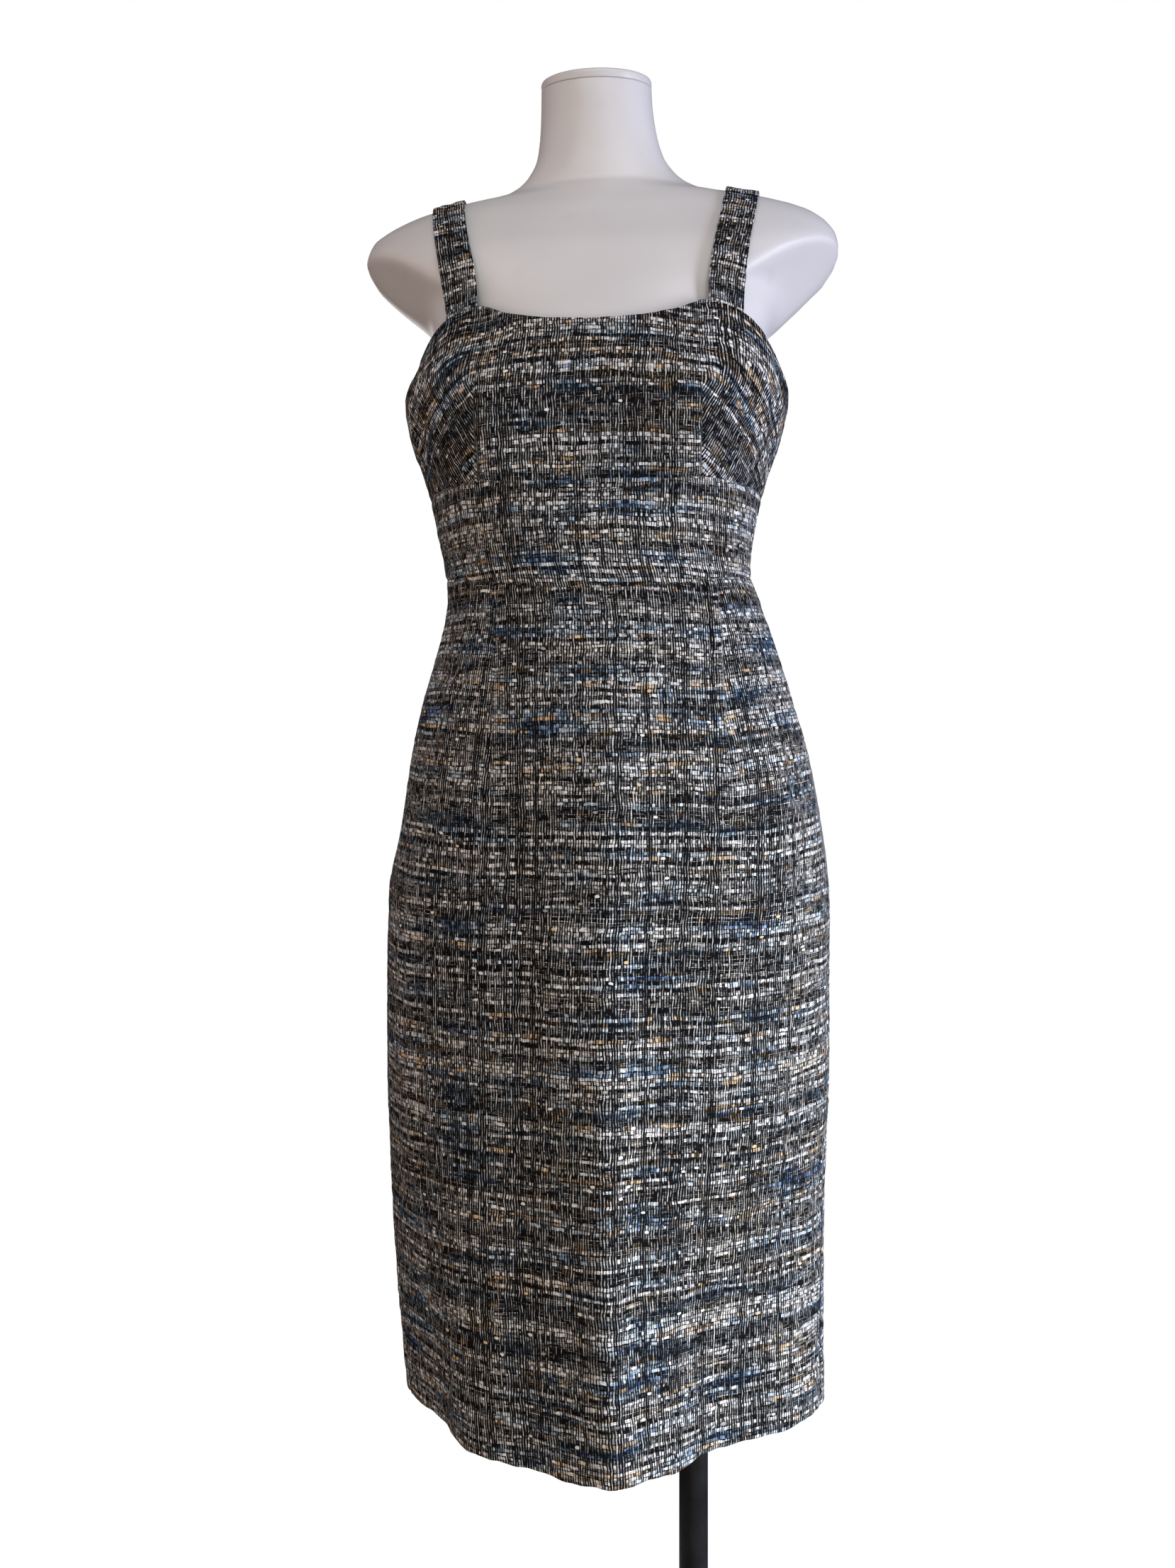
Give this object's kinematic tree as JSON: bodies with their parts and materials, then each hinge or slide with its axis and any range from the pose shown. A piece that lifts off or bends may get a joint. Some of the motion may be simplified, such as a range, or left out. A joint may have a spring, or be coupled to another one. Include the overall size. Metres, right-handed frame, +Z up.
{
  "type": "sheath dress on a dress form",
  "caption": "Sleeveless tweed sheath dress with wide straps, a seamed bodice, a midriff band and side pockets, worn by a limbless dress form on a pole and round base.",
  "frame": {"origin": "centre of the round base's underside, on the floor, under the middle of the body", "axes": "+Z up, the front of the dress faces -Y, the wearer's left is +X"},
  "size_m": [0.4059, 0.38, 1.6046],
  "materials": {
    "tweed": "nubby mixed tweed in black, cream, grey and blue with a few orange slubs",
    "lining": "smooth grey lining",
    "form_plastic": "smooth white, half gloss",
    "black_steel": "black paint, half gloss"
  },
  "bodies": {
    "root": {"bodice_front": "tweed", "bodice_back_left": "tweed", "bodice_back_right": "tweed", "midriff_front": "tweed", "midriff_back_left": "tweed", "midriff_back_right": "tweed", "skirt_front": "tweed", "skirt_back_left": "tweed", "skirt_back_right": "tweed", "strap_left": "tweed", "strap_right": "tweed", "pocket_left": "lining", "pocket_right": "lining", "back_zip": "lining", "form_torso": "form_plastic", "neck_plate": "form_plastic", "form_socket": "black_steel", "pole": "black_steel", "base_collar": "black_steel", "base_plate": "black_steel"}
  },
  "joints": []
}
